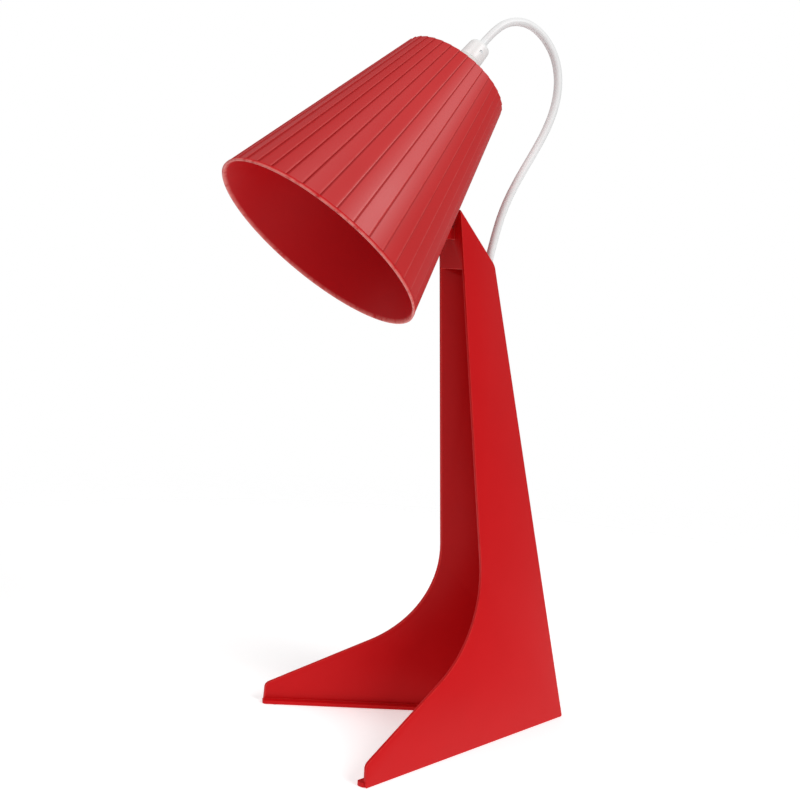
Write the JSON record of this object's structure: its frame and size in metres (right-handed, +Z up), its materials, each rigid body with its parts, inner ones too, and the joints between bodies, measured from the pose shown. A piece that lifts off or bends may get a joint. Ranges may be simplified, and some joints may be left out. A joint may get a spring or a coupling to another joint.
{
  "type": "desk lamp",
  "caption": "Small desk lamp: a pleated conical shade tilts at the head of a moulded stand of two splayed tapered legs, with a flex, in-line switch and plug",
  "frame": {"origin": "centre of the lamp's box on the surface that it stands on, without its cord", "axes": "+Z up; the shade opens to -Y; the stand's spine is at +Y; X across the feet"},
  "size_m": [0.2647, 0.362, 0.4511],
  "materials": {
    "stand_plastic": "satin moulded, pigmented red",
    "shade_plastic": "satin moulded, pigmented red, fine vertical pleats",
    "white_plastic": "satin moulded",
    "white_flex": "smooth extruded sheath",
    "holder_plastic": "moulded thermoset",
    "clear_plastic": "moulded in the stand's colour",
    "tie_plastic": "ribbed tie",
    "core_insulation": "smooth sleeve",
    "pad_rubber": "matt",
    "washer_fibre": "pressed fibre",
    "screw_steel": "zinc plated",
    "contact_brass": "pressed",
    "pin_brass": "nickel plated",
    "bulb_metal": "pressed",
    "bulb_glass": "opal"
  },
  "bodies": {
    "stand": {"stand": "stand_plastic", "foot_pads": "pad_rubber", "cord_clips": "clear_plastic", "pivot_screw": "screw_steel", "friction_washers": "washer_fibre", "cord_loop": "white_flex", "cord_stem": "white_flex", "cord_tail": "white_flex", "cord_coil": "white_flex", "coil_tie": "tie_plastic", "cord_lead": "white_flex", "switch_base": "white_plastic", "switch_cover": "white_plastic", "switch_screws": "screw_steel", "switch_contacts": "contact_brass", "plug_body": "white_plastic", "plug_pins": "pin_brass"},
    "shade": {"shade": "shade_plastic", "shade_top": "shade_plastic", "shade_bracket": "stand_plastic", "bracket_screws": "screw_steel", "lampholder_body": "holder_plastic", "shade_ring": "holder_plastic", "holder_dome": "holder_plastic", "terminal_block": "holder_plastic", "terminal_screws": "contact_brass", "screw_shell": "contact_brass", "centre_contact": "contact_brass", "cord_grip": "white_plastic", "grip_screw": "screw_steel", "cord_end": "white_flex", "core_wires": "core_insulation", "bulb_base": "bulb_metal", "bulb_glass": "bulb_glass"},
    "rocker": {"switch_rocker": "white_plastic"}
  },
  "joints": [
    {"name": "shade_tilt", "type": "hinge", "parent": "stand", "child": "shade", "pos_m": [0, 0.0135, 0.3188], "axis": [1, 0, 0], "range_deg": [-4, 28], "deforming": ["cord_loop"]},
    {"name": "switch_rock", "type": "hinge", "parent": "stand", "child": "rocker", "pos_m": [-0.074, 0.124, 0.0108], "axis": [0, -1, 0], "range_deg": [0, 13]}
  ]
}
